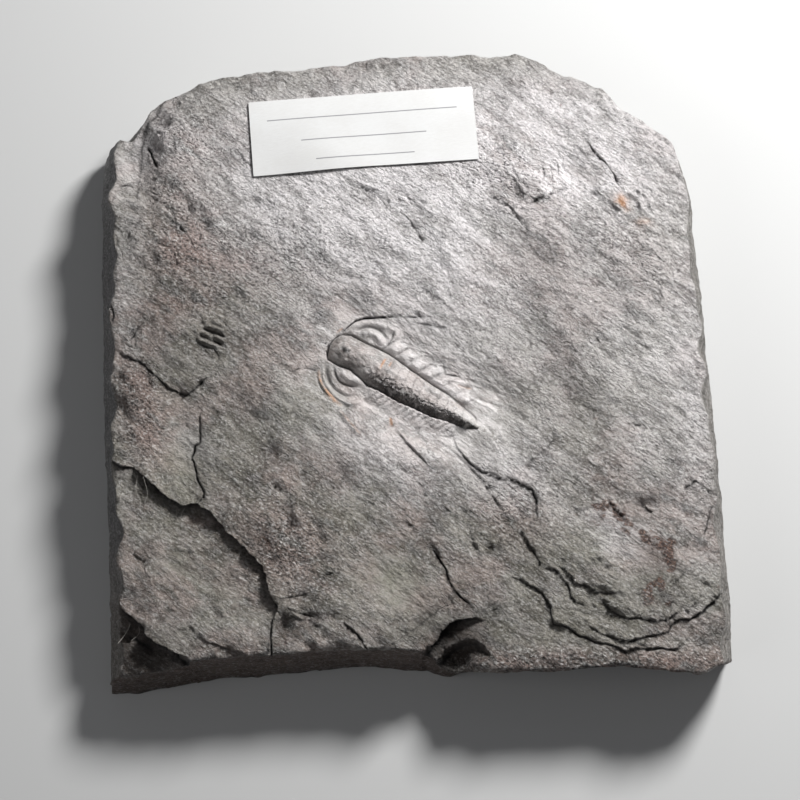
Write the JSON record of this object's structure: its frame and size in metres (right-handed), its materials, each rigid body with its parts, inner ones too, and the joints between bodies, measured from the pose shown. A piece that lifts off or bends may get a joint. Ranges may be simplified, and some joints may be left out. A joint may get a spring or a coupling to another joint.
{
  "type": "trilobite fossil slab",
  "caption": "Flat rectangular shale slab with broken edges, a ribbed trilobite in relief on its face and a blank paper slip laid near the upper edge.",
  "frame": {"origin": "middle of the slab's bounding box at its flat back", "axes": "+Z out of the face that carries the fossil, +Y towards the slab's upper edge, +X to the right"},
  "size_m": [0.1346, 0.1384, 0.0223],
  "materials": {
    "shale": "rough with fine mica glints",
    "paper": "matte"
  },
  "bodies": {
    "root": {"fossil_slab": "shale", "paper_label": "paper"}
  },
  "joints": []
}
